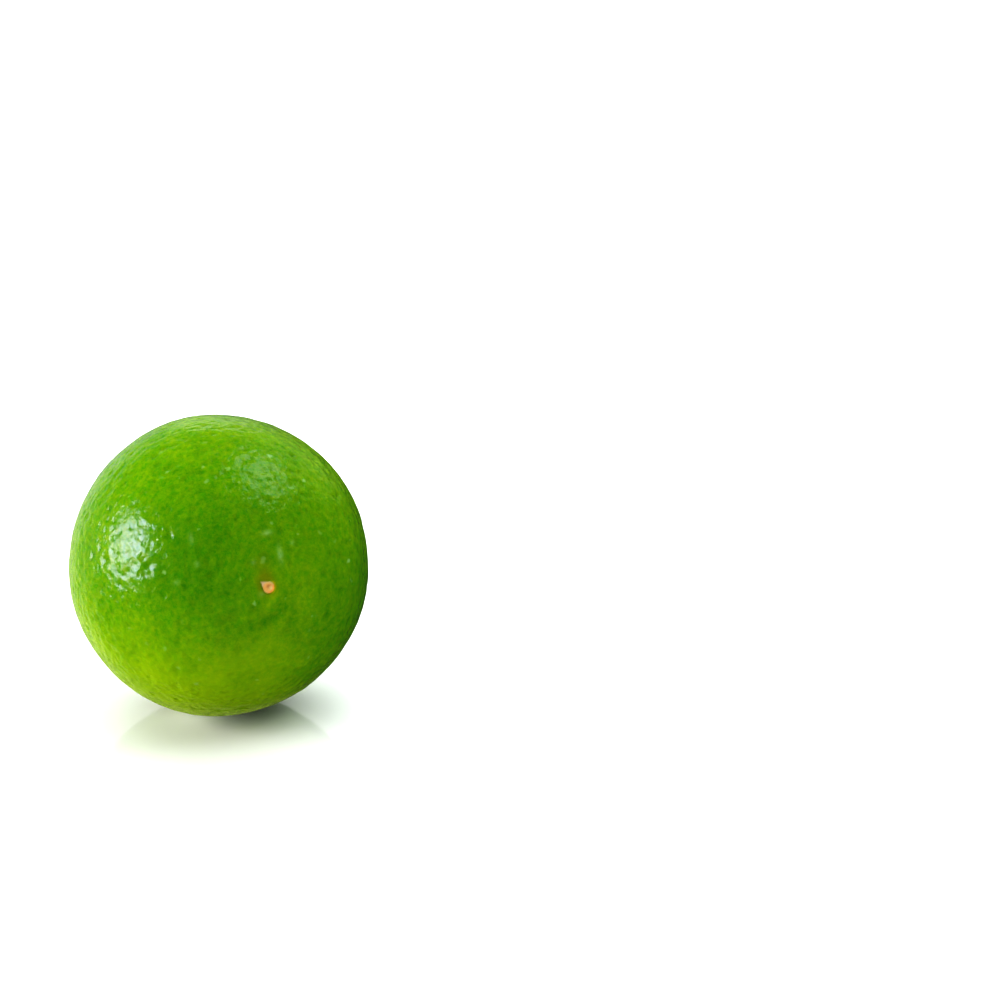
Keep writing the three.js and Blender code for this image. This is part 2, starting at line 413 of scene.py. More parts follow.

# %% Pale smears, one of them a painted glint
PALE_SMEARS = [  # right and up from the scar's middle, half the width, half the height, and the strength
    (2.8, 5.2, 0.5, 1.4, 0.75),
    (1.1, 9.2, 0.95, 0.42, 0.7),
    # a painted glint, below and left of the scar
    (-1.3, -1.0, 0.6, 0.45, 0.35),
    (5.5, 7.0, 0.5, 0.45, 0.45),
    (-2.2, 4.5, 0.45, 0.45, 0.4),
    (-11.6, 5.0, 0.4, 0.5, 0.5),
    (-15.2, 2.0, 0.5, 0.45, 0.45),
    (-12.0, 9.4, 0.35, 0.9, 0.5),
]


def smear(right, up, half_width, half_height, strength):
    """A smooth oval mark on the chart: a bump of the distance, measured in half widths and half heights."""
    from_middle = np.hypot((chart[:, 0] - right) / half_width, (chart[:, 1] - up) / half_height)
    return strength * bump(from_middle, 1)


smears = sum(smear(*mark) for mark in PALE_SMEARS)
end_tones["pale_smear_and_glint"] = np.where(at_flower, np.clip(smears, 0, 1), 0)
print("points under dried wax:", int((end_tones["pale_smear_and_glint"] > 0.25).sum()))

# %% [markdown]
# ## The skin in its place
#
# The fruit lies on its side with the flower end tipped up, so its frame is turned about X. The soft rind
# gives a little where it rests, and that makes the small flat spot. A hard cut there would leave a sharp
# edge, so every point that would be under the surface is brought up to it with a smooth bend.

# %% Turn the fruit and set it down
AXIS_RISE = math.radians(9)  # of the flower end above level
ATTITUDE = np.array(Matrix.Rotation(math.pi / 2 - AXIS_RISE, 3, "X"))
FLAT_SPOT_DEPTH = 0.4  # how far the rind gives where it rests
SPOT_BEND = 0.05


def as_it_lies(points):
    """Points in the fruit's own frame, turned to the attitude that it lies in."""
    return points @ ATTITUDE.T


def settle(height):
    """Heights with those below 0 brought up to it: half the sum of the height and its smoothed size."""
    return 0.5 * (height + np.sqrt(height**2 + SPOT_BEND**2))


skin = as_it_lies(ball * (form_radius(ball) + relief + scar_height)[:, None])
low, high = (np.array(corner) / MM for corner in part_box("fruit"))
middle = (skin.min(axis=0) + skin.max(axis=0)) / 2
stand = np.array([*((low + high) / 2 - middle)[:2], -(skin[:, 2].min() + FLAT_SPOT_DEPTH)])
skin = skin + stand
skin[:, 2] = settle(skin[:, 2])
skin_size = skin.max(axis=0) - skin.min(axis=0)
print("fine skin in mm:", skin_size.round(2), "solid:", (high - low).round(2))

# %% [markdown]
# ## Where the skin is yellower
#
# The green is not even. The side that lies down, most of all towards the front left, is lighter and
# yellower, the front is the greenest, and the deeper green down the right side is painted shade. A single
# noise would spread the tones without any plan, so the broad ones are placed one by one. Each is a round
# patch or a whole side of the fruit, named by the way that it faces as the fruit lies, and two slow swells
# blur their order.

# %% Patches and sides
MEAN_YELLOWING = 0.46
PATCHES = [  # strength, turn from +X and rise above level in degrees, spread in radians
    (-0.4, 243, 15, 0.5),
    (0.12, 284, 6, 0.3),
    # painted shade: a deeper green down the right side
    (-0.5, 325, -8, 0.32),
    (0.14, 261, -18, 0.16),
    (-0.1, 283, -30, 0.35),
    (0.1, 314, 34, 0.35),
    (0.08, 197, -6, 0.35),
    (0.08, 281, 69, 0.3),
]
SIDES = [  # strength, turn, rise, and how squarely the skin faces that way where it starts and is full
    (0.43, 235, -50, 0.4, 0.95),
    (0.05, 190, 25, 0.7, 0.95),
    (0.3, 50, 45, 0.3, 1.0),
]
DRIFTS = [(0.05, 18, 9.0, 11), (0.03, 30, 30.0, 12)]  # strength, and a swell's waves, pitch and salt


def toward(turn_degrees, rise_degrees):
    """From -1 to 1: how squarely the skin, as it lies, faces a turn from +X and a rise above level."""
    turn, rise = math.radians(turn_degrees), math.radians(rise_degrees)
    aim = np.array([math.cos(turn) * math.cos(rise), math.sin(turn) * math.cos(rise), math.sin(rise)])
    return as_it_lies(ball) @ aim


patches = [strength * bump(angle_of(toward(*aim)), spread) for strength, *aim, spread in PATCHES]
sides = [strength * smoothstep(toward(*aim), start, full) for strength, *aim, start, full in SIDES]
drifts = [strength * swell(ball, *waves) for strength, *waves in DRIFTS]
# both ends are yellower; beside the ridge, painted light makes its inner side lighter and yellower,
# and painted shade makes its outer side a deeper green
ends = [0.12 * bump(from_stem, 0.3), 0.24 * spot(-0.6, -0.5, 3.6)]
ridge_painted_light = [
    0.14 * on_arc * bump(ridge_reach - RIDGE_RADIUS + 0.6, 0.8),
    -0.22 * on_arc * bump(ridge_reach - RIDGE_RADIUS - 1.2, 1.0),
]
ripeness = np.clip(MEAN_YELLOWING + sum(patches + sides + drifts + ends + ridge_painted_light), 0, 1)
print("ripeness: from", round(ripeness.min(), 2), "to", round(ripeness.max(), 2))


# %% Put a mesh into the scene
def add_piece(name, points, faces, tones):
    """A smooth mesh object from points in mm and faces, with each tone stored as a number per point."""
    mesh = bpy.data.meshes.new(name)
    mesh.from_pydata((points * MM).tolist(), [], faces)
    mesh.update()
    mesh.shade_smooth()
    for key, values in tones.items():
        layer = mesh.attributes.new(key, "FLOAT", "POINT")
        layer.data.foreach_set("value", np.asarray(values, dtype=np.float32))
    piece = bpy.data.objects.new(name, mesh)
    bpy.context.scene.collection.objects.link(piece)
    print(name, "points:", len(points), "triangles:", sum(len(face) - 2 for face in faces))
    return piece


# %% Build the skin
GLAND_LIMIT = 1.5  # pits deeper than this are no darker
# the side where most of the specks, the painted glints, gather
SPECKED_SIDE = (277, 33)  # turn and rise of the side with the most specks
FEWEST_SPECKS = 0.25  # elsewhere, as a share
GATHER_START, GATHER_FULL = 0.6, 0.95  # how squarely the skin faces that side where they gather
gathered = smoothstep(toward(*SPECKED_SIDE), GATHER_START, GATHER_FULL)
skin_tones = {
    "gland": np.clip(pit, 0, GLAND_LIMIT) * relief_share,
    "ripe": ripeness,
    "specked": FEWEST_SPECKS + (1 - FEWEST_SPECKS) * gathered,
    **end_tones,
}
fruit_skin = add_piece("fruit_skin", skin, skin_quads.tolist(), skin_tones)
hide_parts("fruit")
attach(fruit_skin, "root")

# %% [markdown]
# ## The calyx button
#
# On the tree the lime hung from a short stalk, with the five sepals of the flower still on it as a thick
# little star. Pickers snap the stalk, and the star stays on the fruit as its button: green drying to
# brown, its lobes pressed into the basin, and the stub's pale broken wood in the middle. It could be
# joined from five leaves and a cylinder, but one grid of turns and rings covers it with no joint: out
# over the upper side, round the rim and back underneath. Its underside is bedded a little into the skin,
# so no light shows under the rim.

# %% The button's outline
LOBES = 5
NOTCH_REACH, LOBE_REACH, LOBE_BLUNTNESS = 0.098, 0.142, 0.85  # angles from the stem end, and a power
LOBE_DRIFT = [(2, 0.006, 0.7), (3, 0.004, -1.1)]  # waves round the button, height, start
LOBE_RAGGED = [(23, 0.0012, 0), (41, 0.0009, 1)]


def ring_waves(wave, turn, table):
    """A sum of waves round the button: each one's height times a sine or cosine of count times turn."""
    return sum(height * wave(count * turn + start) for count, height, start in table)


def lobe_reach(turn):
    """Angle from the stem end to the rim for each turn: five blunt lobes, a little longer or shorter."""
    lobe = (0.5 + 0.5 * np.cos(LOBES * turn)) ** LOBE_BLUNTNESS
    own = ring_waves(np.cos, turn, LOBE_DRIFT) + ring_waves(np.sin, turn, LOBE_RAGGED)
    return NOTCH_REACH + (LOBE_REACH - NOTCH_REACH) * lobe + own


print("button across in mm, about:", round(2 * LOBE_REACH * STEM_HALF, 1))

# %% The button's height
LEAF_RIM, LEAF_CROWN = 0.36, 0.95  # thickness at the rim and in the middle
RIB_RISE, RIB_START, RIB_FULL = 0.09, 1.3, 2.2  # and how far out the ribs start and are full
VEINS, VEIN_RISE, VEIN_START, VEIN_FULL = 25, 0.045, 1.4, 2.0
VEIN_FADE, VEIN_TWIST = 0.8, 3  # the share where veins start to fade, and their turn on the way out
COLLAR_AT, COLLAR_SPREAD, COLLAR_RISE = 1.75, 0.22, 0.16  # a puckered ring of leaf round the stub
COLLAR_PUCKERS, COLLAR_UNEVEN = 9, 0.25
STUB_RADIUS, STUB_HEIGHT, STUB_SLOPE = 1.25, 1.15, 0.088
STUB_RAGGED = [(3, 0.09, 0.4), (7, 0.06, 2), (13, 0.04, 0)]  # waves round the broken rim, height, start
CUP_DEPTH, CUP_SPREAD = 0.3, 0.75  # of the broken end
BARK_AT, BARK_RISE, PITH_RISE, FINE_SPREAD = 0.95, 0.12, 0.1, 0.16  # of its raised rim and its pith


def button_height(share, turn):
    """Height over the skin: a leaf thinning towards its rim, ribbed along each lobe, with the stub on top.

    share is 0 at the middle and 1 at the rim. The stub's wall is a steep S of the distance from the middle,
    and its broken top is a shallow cup with an uneven rim of bark and a pith dot.
    """
    across = share * lobe_reach(turn) * STEM_HALF
    leaf = LEAF_RIM + (LEAF_CROWN - LEAF_RIM) * (1 - share**2)
    rib = RIB_RISE * np.cos(LOBES * turn) * smoothstep(across, RIB_START, RIB_FULL) * (1 - share**4)
    vein_share = smoothstep(across, VEIN_START, VEIN_FULL) * (1 - smoothstep(share, VEIN_FADE, 1))
    veins = VEIN_RISE * np.cos(VEINS * turn + VEIN_TWIST * share) * vein_share
    puckered = 1 + COLLAR_UNEVEN * np.cos(COLLAR_PUCKERS * turn)
    collar = COLLAR_RISE * bump(across - COLLAR_AT, COLLAR_SPREAD) * puckered
    wall = 1 / (1 + np.exp((across - STUB_RADIUS) / STUB_SLOPE))
    ragged = 1 + ring_waves(np.sin, turn, STUB_RAGGED)
    bark = BARK_RISE * bump(across - BARK_AT, FINE_SPREAD)
    cup = bark + PITH_RISE * bump(across, FINE_SPREAD) - CUP_DEPTH * bump(across, CUP_SPREAD)
    return leaf + rib + veins + collar + (STUB_HEIGHT * ragged + cup) * wall


# %% The button's grid
BUTTON_TURNS = 240
UPPER_RINGS, RIM_RINGS, LOWER_RINGS = 90, 14, 6
RING_POWER = 0.9  # draws the upper rings a little closer together towards the rim
RIM_BULGE = 0.03  # how far the rim stands out past the upper side, as a share
SEAT = -0.06  # the underside's height over the skin: it is bedded in

turns = 2 * np.pi * np.arange(BUTTON_TURNS) / BUTTON_TURNS
upper = np.linspace(0, 1, UPPER_RINGS) ** RING_POWER
rim_turn = np.linspace(0, np.pi, RIM_RINGS + 2)[1:-1]
rim_share = 1 + RIM_BULGE * np.sin(rim_turn)
lower = np.linspace(1, 0, LOWER_RINGS)
ring_share = np.concatenate([upper, rim_share, lower])
ring_lift = np.concatenate([np.ones(UPPER_RINGS), 0.5 + 0.5 * np.cos(rim_turn), np.zeros(LOWER_RINGS)])
share, turn = (grid.ravel() for grid in np.meshgrid(ring_share, turns, indexing="ij"))
lift = np.repeat(ring_lift, BUTTON_TURNS) * button_height(np.minimum(share, 1), turn)
reach = share * lobe_reach(turn)
outward = np.stack([np.sin(reach) * np.cos(turn), np.sin(reach) * np.sin(turn), -np.cos(reach)], axis=1)
button_points = outward * (form_radius(outward) + SEAT + lift)[:, None]
print("button's height over the skin in mm:", round(lift.max(), 2))


# %% Close the grid at its two poles
def wrapped_grid(rings, columns):
    """Quads of a grid of rings, each of them closed, with one square for each step along and round."""
    ring, column = np.meshgrid(np.arange(rings - 1), np.arange(columns), indexing="ij")
    start = ring * columns + column
    beside = ring * columns + (column + 1) % columns
    return np.stack([start, beside, beside + columns, start + columns], axis=-1).reshape(-1, 4)


def weld_poles(quads, rings, columns):
    """Which points to keep, and the faces with the first and the last ring each welded into one point.

    A square that touches a pole loses a corner that way and becomes a triangle.
    """
    keep = np.arange(rings * columns)
    keep[:columns] = 0
    keep[-columns:] = (rings - 1) * columns
    used, index = np.unique(keep, return_inverse=True)
    return used, [list(dict.fromkeys(face)) for face in index[quads].tolist()]


button_quads = wrapped_grid(len(ring_share), BUTTON_TURNS)
used, button_faces = weld_poles(button_quads, len(ring_share), BUTTON_TURNS)
button_lies = as_it_lies(button_points[used]) + stand
button_end, model_end = button_lies[:, 1].max(), cad_high[1] / MM
print("button reaches", round(button_end, 2), "mm, the model", round(model_end, 2), "mm")

# %% Build the button
PITH_SPREAD = 0.25
WOOD_FULL, WOOD_END = 0.85, 1.1  # shares of the stub's radius between which the bare wood ends
out = np.minimum(share[used], 1)
across = out * lobe_reach(turn[used]) * STEM_HALF
button_tones = {
    "out": out,
    "wood": 1 - smoothstep(across, WOOD_FULL * STUB_RADIUS, WOOD_END * STUB_RADIUS),
    "pith": bump(across, PITH_SPREAD),
}
button = add_piece("calyx_star", button_lies, button_faces, button_tones)
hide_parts("calyx_button")
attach(button, "root")

# %% [markdown]
# ## Finishes
#
# A material in Blender is a graph of nodes. It could be wired by hand in the editor, but a script can be
# read and run again. Writing one is mostly a matter of adding a node and feeding its inputs, so two small
# helpers do that, and each finish below reads like a recipe.


# %% Helpers for nodes
def feed(node, inputs):
    """Give a node its inputs, by name or place: numbers, colours, or other nodes' outputs to link."""
    for name, value in inputs.items():
        socket = node.inputs[name]
        if isinstance(value, bpy.types.NodeSocket):
            node.id_data.links.new(value, socket)
        elif socket.type == "RGBA":
            socket.default_value = (*value, 1)
        else:
            socket.default_value = value


def add_node(tree, kind, inputs, **settings):
    """A new node in a tree, with its settings made and its inputs fed."""
    node = tree.nodes.new(kind)
    for name, value in settings.items():
        setattr(node, name, value)
    feed(node, inputs)
    return node


# %% A recipe for a material
class Recipe:
    """A new material whose nodes are added one by one. Each step returns an output for later steps."""

    def __init__(self, name):
        self.material = bpy.data.materials.new(name)
        self.material.use_nodes = True
        self.tree = self.material.node_tree
        self.shader = self.tree.nodes["Principled BSDF"]

    def add(self, kind, inputs, output, **settings):
        """Any node, and which of its outputs is wanted."""
        return add_node(self.tree, kind, inputs, **settings).outputs[output]

    def place(self):
        """Where a point is on the object, in metres."""
        return self.add("ShaderNodeTexCoord", {}, "Object")

    def attribute(self, name):
        """A tone that is stored on the mesh."""
        return self.add("ShaderNodeAttribute", {}, "Fac", attribute_name=name)

    def noise(self, scale, detail=3.0, roughness=0.5, output="Fac"):
        """A cloudy noise with so many features to the metre. Most of its values lie between 0.3 and 0.7."""
        inputs = {"Vector": self.place(), "Scale": scale, "Detail": detail, "Roughness": roughness}
        return self.add("ShaderNodeTexNoise", inputs, output)

    def spread(self, value, low, high, to_low=0.0, to_high=1.0):
        """A value from low to high, spread over another range and held at its ends."""
        inputs = {"Value": value, "From Min": low, "From Max": high, "To Min": to_low, "To Max": to_high}
        return self.add("ShaderNodeMapRange", inputs, "Result")

    def maths(self, operation, first, second):
        """A sum, a product or another operation on two numbers."""
        return self.add("ShaderNodeMath", {0: first, 1: second}, "Value", operation=operation)

    def mix(self, share, first, second, blend="MIX"):
        """A colour between two, by a share from 0 to 1. Inputs 6 and 7 are the two colours."""
        inputs = {"Factor": share, 6: first, 7: second}
        return self.add("ShaderNodeMix", inputs, 2, data_type="RGBA", blend_type=blend)

    def grain(self, height, distance, strength=1.0, **under):
        """A bend of the surface by a height: fine bump, over another one if given as Normal."""
        inputs = {"Strength": strength, "Distance": distance, "Height": height, **under}
        return self.add("ShaderNodeBump", inputs, "Normal")

    def finish(self, piece, inputs):
        """Feed the shader and put the material on the piece."""
        feed(self.shader, inputs)
        piece.data.materials.append(self.material)
        print(self.material.name, "nodes:", len(self.tree.nodes))


# %% [markdown]
# ### The rind's green
#
# The green of a lime is in its skin. A flat green looks like plastic, so it is broken up at three sizes:
# the yellowing, with the painted light and shade that it carries, drifts from a deep green to a yellower
# one over centimetres, a fine mottling in a cooler and a warmer hue runs over everything, and the skin is
# darker over each gland, where the oil shows through. Where the skin is yellower it is also more even, so
# the mottling fades there.

# %% Greens
DEEP_GREEN = (0.096, 0.238, 0.001)
MIDDLE_GREEN = (0.148, 0.295, 0.001)
YELLOW_GREEN = (0.258, 0.385, 0.0015)
MOTTLE_GREEN = (0.065, 0.19, 0.001)
GLAND_GREEN, GLAND_SHARE = (0.07, 0.19, 0.001), 0.22
COOL_HUE, WARM_HUE = (0.6, 0.91, 1.0), (1.4, 1.09, 1.0)  # what a green is multiplied by
DRIFT_SCALE, MOTTLE_SCALE, HUE_SCALE = 120, 900, 950

rind = Recipe("lime_rind")
ripe = rind.attribute("ripe")
drift = rind.spread(rind.noise(DRIFT_SCALE, 3, 0.55), 0.3, 0.7, -0.1, 0.1)
tone = rind.maths("ADD", ripe, drift)
colour = rind.mix(rind.spread(tone, 0.0, 0.5), DEEP_GREEN, MIDDLE_GREEN)
colour = rind.mix(rind.spread(tone, 0.5, 1.0), colour, YELLOW_GREEN)
unevenness = rind.spread(ripe, 0.5, 0.9, 1.0, 0.2)
mottle = rind.spread(rind.noise(MOTTLE_SCALE, 4, 0.6), 0.32, 0.68, 0.0, 0.3)
colour = rind.mix(rind.maths("MULTIPLY", mottle, unevenness), colour, MOTTLE_GREEN)
gland_share = rind.maths("MULTIPLY", unevenness, GLAND_SHARE)
colour = rind.mix(rind.maths("MULTIPLY", rind.attribute("gland"), gland_share), colour, GLAND_GREEN)
hue = rind.mix(rind.spread(rind.noise(HUE_SCALE, 3, 0.95), 0.34, 0.66), COOL_HUE, WARM_HUE)
colour = rind.mix(unevenness, colour, hue, "MULTIPLY")
print("nodes for the green:", len(rind.tree.nodes))

# %% [markdown]
# ### Specks and smears, with painted glints
#
# Small pale specks, scattered and of uneven shape, are painted glints: the light caught on the edges of
# pits. Most of them gather on one side. A few yellowish ones are the peel's own lenticels, and some pale
# smears take the glints' colour. Real flakes would be too thin to model, so they are in the colour. The
# specks sit in the middles of bent cells, and a number that each cell draws decides whether it has one. A
# noise breaks the smears up.

# %% Specks and smears
# pale teal for the painted glints, which the smears share, and yellow for the lenticels
GLINT_COLOUR, SPECK_YELLOW = (0.29, 0.44, 0.17), (0.46, 0.52, 0.14)
SPECK_SHARE = 0.75  # how much of the green a speck hides
SPECK_CELLS = 400.0  # to the metre
SPECK_FULL, SPECK_END = 0.09, 0.24  # shares of a cell, from where a speck starts to fade to its edge
BEND_SCALE, BEND_REACH = 700.0, (0.0016, 0.0016, 0.0016)  # of the noise that bends the cells, in metres
FAINT_DRAW, FULL_DRAW = 0.45, 0.7  # cells that draw less have no speck, and those that draw more a full one
CLEAR_SIDE = -0.45  # added to each draw where the tone for specks is 0
YELLOW_DRAW = 0.93  # cells that draw more have a yellow speck
SMEAR_SCALE = 1300

bend = rind.noise(BEND_SCALE, 2.0, output="Color")
bend_inputs = {0: bend, 1: BEND_REACH, 2: rind.place()}
bent = rind.add("ShaderNodeVectorMath", bend_inputs, 0, operation="MULTIPLY_ADD")
cell_inputs = {"Vector": bent, "Scale": SPECK_CELLS, "Randomness": 1.0}
cells = add_node(rind.tree, "ShaderNodeTexVoronoi", cell_inputs)
draw = cells.outputs["Color"]
speck_shape = rind.spread(cells.outputs["Distance"], SPECK_FULL, SPECK_END, 1.0, 0.0)
fewer = rind.spread(rind.attribute("specked"), 0.0, 1.0, CLEAR_SIDE, 0.0)
chosen = rind.spread(rind.maths("ADD", draw, fewer), FAINT_DRAW, FULL_DRAW)
speck = rind.mix(rind.spread(draw, YELLOW_DRAW, YELLOW_DRAW + 0.01), GLINT_COLOUR, SPECK_YELLOW)
on_speck = rind.maths("MULTIPLY", speck_shape, rind.maths("MULTIPLY", chosen, SPECK_SHARE))
colour = rind.mix(on_speck, colour, speck)
broken = rind.spread(rind.noise(SMEAR_SCALE, 3, 0.6), 0.35, 0.6, 0.45, 1.0)
colour = rind.mix(rind.maths("MULTIPLY", rind.attribute("pale_smear_and_glint"), broken), colour, GLINT_COLOUR)
print("nodes with the specks:", len(rind.tree.nodes))

# %% [markdown]
# ### The scar's colours
#
# Each tone that was worked out on the chart now gets its colour, from the halo and the painted light and
# shade round the scar inwards to the cork. A picture of a scar could be stuck on, but it would blur from
# near by. The colours are laid one over another, as glazes would be, so the order matters: halo, orange
# line of painted light, painted crease shade, cork.

# %% Stains and cork
# the halo, the orange line of painted light, and the crease's painted shade
HALO_AND_PAINTED_LIGHT = {  # tone on the mesh: its colour, and how much of the green it hides
    "halo": ((0.21, 0.17, 0.003), 0.5),
    "scar_edge_light": ((0.5, 0.33, 0.002), 0.75),
    "scar_crease_shade": ((0.05, 0.05, 0.001), 0.5),
}
CORK = (0.65, 0.375, 0.14)
CORK_TONES = {
    "scar_dot": (0.45, 0.21, 0.07),
    "scar_pale": (0.63, 0.48, 0.235),
    "scar_tan": (0.54, 0.38, 0.17),
    "scar_warm": (0.72, 0.31, 0.08),
    "scar_corner": (0.52, 0.37, 0.26),
}
CORK_GRAIN_SCALE = 2600

for tone_name, (glaze_colour, hidden) in HALO_AND_PAINTED_LIGHT.items():
    colour = rind.mix(rind.maths("MULTIPLY", rind.attribute(tone_name), hidden), colour, glaze_colour)
cork = CORK
for tone_name, cork_tone in CORK_TONES.items():
    cork = rind.mix(rind.attribute(tone_name), cork, cork_tone)
cork_grain = rind.spread(rind.noise(CORK_GRAIN_SCALE, 2), 0.4, 0.65, 0.0, 0.25)
cork = rind.mix(cork_grain, cork, CORK_TONES["scar_dot"])
scar = rind.attribute("scar")
colour = rind.mix(scar, colour, cork)
print("nodes with the scar:", len(rind.tree.nodes))

# %% [markdown]
# ### The rind's gloss
#
# A lime is thinly glazed with wax, so its highlights are bright but broken, and the cork has none. The
# relief itself is already in the mesh. What is left for bump is the grain of the wax: tiny domes and a
# noise over them, about a tenth of a millimetre high and finer than the mesh can carry. A little light
# also goes into the skin and comes out beside, which softens the edges of the shade.

# %% Gloss and grain
GLOSS_SCALE, GLOSSIEST, DULLEST, CORK_ROUGHNESS = 420, 0.17, 0.25, 0.7
DOME_SCALE, DOME_HEIGHT = 800.0, 0.00012  # to the metre, and in metres
GRAIN_SCALE, GRAIN_HEIGHT = 1400, 0.00008

wax = rind.spread(rind.noise(GLOSS_SCALE, 3, 0.6), 0.3, 0.7, GLOSSIEST, DULLEST)
roughness = rind.maths("MAXIMUM", wax, rind.maths("MULTIPLY", scar, CORK_ROUGHNESS))
dome_cells = {"Vector": rind.place(), "Scale": DOME_SCALE, "Smoothness": 0.6}
domes = rind.add("ShaderNodeTexVoronoi", dome_cells, "Distance", feature="SMOOTH_F1")
under = rind.grain(domes, DOME_HEIGHT)
rind.finish(
    fruit_skin,
    {
        "Base Color": colour,
        "Roughness": roughness,
        "Normal": rind.grain(rind.noise(GRAIN_SCALE, 2, 0.5), GRAIN_HEIGHT, Normal=under),
        "Subsurface Weight": 0.3,
        "Subsurface Radius": (0.9, 1.0, 0.3),
        "Subsurface Scale": MM,
        "IOR": 1.38,
    },
)

# %% [markdown]
# ### The calyx
#
# The lobes dry from their rims inwards, so they are olive near the stub and brown outside. The broken end
# of the stub is pale, fibrous wood with a darker pith. None of it shines. The steps are the rind's: a
# tone from the mesh, pushed about by a noise, chooses between two colours.

# %% Calyx finish
LEAF_GREEN, LEAF_BROWN, DRY_EDGE = (0.12, 0.19, 0.02), (0.27, 0.17, 0.055), (0.13, 0.07, 0.025)
WOOD_PALE, WOOD_DARK, PITH = (0.52, 0.38, 0.18), (0.3, 0.19, 0.08), (0.22, 0.13, 0.06)
DRY_SCALE, FIBRE_SCALE, LEAF_GRAIN_SCALE, LEAF_GRAIN_HEIGHT = 900, 3500, 2200, 0.00012

calyx = Recipe("lime_calyx")
blotches = calyx.noise(DRY_SCALE, 4, 0.65)
dryness = calyx.maths("ADD", calyx.attribute("out"), calyx.spread(blotches, 0.3, 0.7, -0.25, 0.25))
leaf = calyx.mix(calyx.spread(dryness, 0.45, 1.0), LEAF_GREEN, LEAF_BROWN)
leaf = calyx.mix(calyx.spread(calyx.attribute("out"), 0.93, 1.0), leaf, DRY_EDGE)
fibres = calyx.spread(calyx.noise(FIBRE_SCALE, 3, 0.6), 0.35, 0.65)
wood = calyx.mix(fibres, WOOD_DARK, WOOD_PALE)
wood = calyx.mix(calyx.attribute("pith"), wood, PITH)
calyx.finish(
    button,
    {
        "Base Color": calyx.mix(calyx.attribute("wood"), leaf, wood),
        "Roughness": calyx.spread(blotches, 0.3, 0.7, 0.62, 0.85),
        "Normal": calyx.grain(calyx.noise(LEAF_GRAIN_SCALE, 4, 0.65), LEAF_GRAIN_HEIGHT, 0.6),
    },
)

# %% [markdown]
# ## The floor
#
# Fruit like this is shot on glossy white acrylic. A real sheet would end in a visible edge, so a wide
# disc stands for it, a few metres across. Near the lime it has a soft gloss, which gives the fruit a
# faint mirror image, and the gloss fades further out, so the rest stays plain. Acrylic is slightly milky:
# light sinks in beside the fruit and comes out again under its edge, which keeps the shadow there from
# going black. Tracing that would take long, so a faint glow in the floor stands in for it.

# %% Floor
FLOOR_RADIUS, FLOOR_CORNERS = 4.0, 96
ACRYLIC = (0.9, 0.87, 0.9)
SHINE, SHINE_FULL, SHINE_END = 0.2, 0.08, 0.5  # strength of the gloss, and how far out it fades and ends
LIT_EDGE = (-0.0057, -0.0036, 0.0)  # the middle of the glow, under the lime's left edge
SEEP, SEEP_FULL, SEEP_END = 0.41, 0.002, 0.013  # root of the glow's strength, and where it fades and ends

around = 2 * np.pi * np.arange(FLOOR_CORNERS) / FLOOR_CORNERS
corners = np.stack([FLOOR_RADIUS * np.cos(around), FLOOR_RADIUS * np.sin(around), 0 * around], axis=1)
floor = add_piece("studio_floor", corners / MM, [list(range(FLOOR_CORNERS))], {})
acrylic = Recipe("white_acrylic")
from_lime = acrylic.add("ShaderNodeVectorMath", {0: acrylic.place()}, "Value", operation="LENGTH")
edge_inputs = {0: acrylic.place(), 1: LIT_EDGE}
from_edge = acrylic.add("ShaderNodeVectorMath", edge_inputs, "Value", operation="DISTANCE")
seep = acrylic.spread(from_edge, SEEP_FULL, SEEP_END, SEEP, 0.0)
acrylic.finish(
    floor,
    {
        "Base Color": ACRYLIC,
        "Roughness": 0.06,
        "Specular IOR Level": acrylic.spread(from_lime, SHINE_FULL, SHINE_END, SHINE, 0.0),
        "Emission Color": (1, 1, 1),
        "Emission Strength": acrylic.maths("MULTIPLY", seep, seep),
    },
)
floor.visible_glossy = False

# %% [markdown]
# ## The camera
#
# A long lens half a metre away flattens the fruit as the eye expects of a small thing. It could be aimed
# by hand, but here the place where the lime's middle falls in the frame is given, with the turn and the
# drop of the line of sight to it, and the camera's own turn is worked out so that it stays level.

# %% Camera
SENSOR_MM, LENS_MM = 36.0, 100.0
FRAME_PIXELS = 1000
LIME_PIXEL = (218.5, 564)  # where the middle of the lime falls in the frame, from its top left corner
SIGHT_TURN, SIGHT_DROP = math.radians(-16.95), math.radians(17.5)  # of the line of sight to the lime
DISTANCE = 0.504

pixels_per_unit = LENS_MM / SENSOR_MM * FRAME_PIXELS
middle_pixel = FRAME_PIXELS / 2
right, up = LIME_PIXEL[0] - middle_pixel, middle_pixel - LIME_PIXEL[1]
toward_lime = Vector((right, up, -pixels_per_unit)).normalized()
level = math.hypot(toward_lime.y, toward_lime.z)
drop = math.atan2(toward_lime.y, -toward_lime.z) + math.asin(math.sin(SIGHT_DROP) / level)
ahead = math.cos(drop) * -toward_lime.z + math.sin(drop) * toward_lime.y
turn_right = SIGHT_TURN - math.atan2(-toward_lime.x, ahead)
camera_turn = Matrix.Rotation(turn_right, 3, "Z") @ Matrix.Rotation(math.pi / 2 - drop, 3, "X")

lime_middle = (cad_low + cad_high) / 2
camera = bpy.data.objects.new("camera", bpy.data.cameras.new("camera"))
camera.data.lens, camera.data.sensor_width = LENS_MM, SENSOR_MM
camera.data.clip_start = 0.01
camera.location = lime_middle - camera_turn @ toward_lime * DISTANCE
camera.rotation_euler = camera_turn.to_euler()
bpy.context.scene.collection.objects.link(camera)
bpy.context.scene.camera = camera
print("camera at", [round(value, 3) for value in camera.location])

# %% [markdown]
# ## The lights
#
# A key box stands low on the left. It models the form and draws the sharp, broken highlight. Three broad
# fills, above, behind and at the left, lift the shade. Square fills would show as squares in glossy skin,
# so the gloss doesn't see them. A light's strength is given as what it looks like from the lime, and its
# power is worked out from that, so a box can be moved or enlarged and still look as bright.


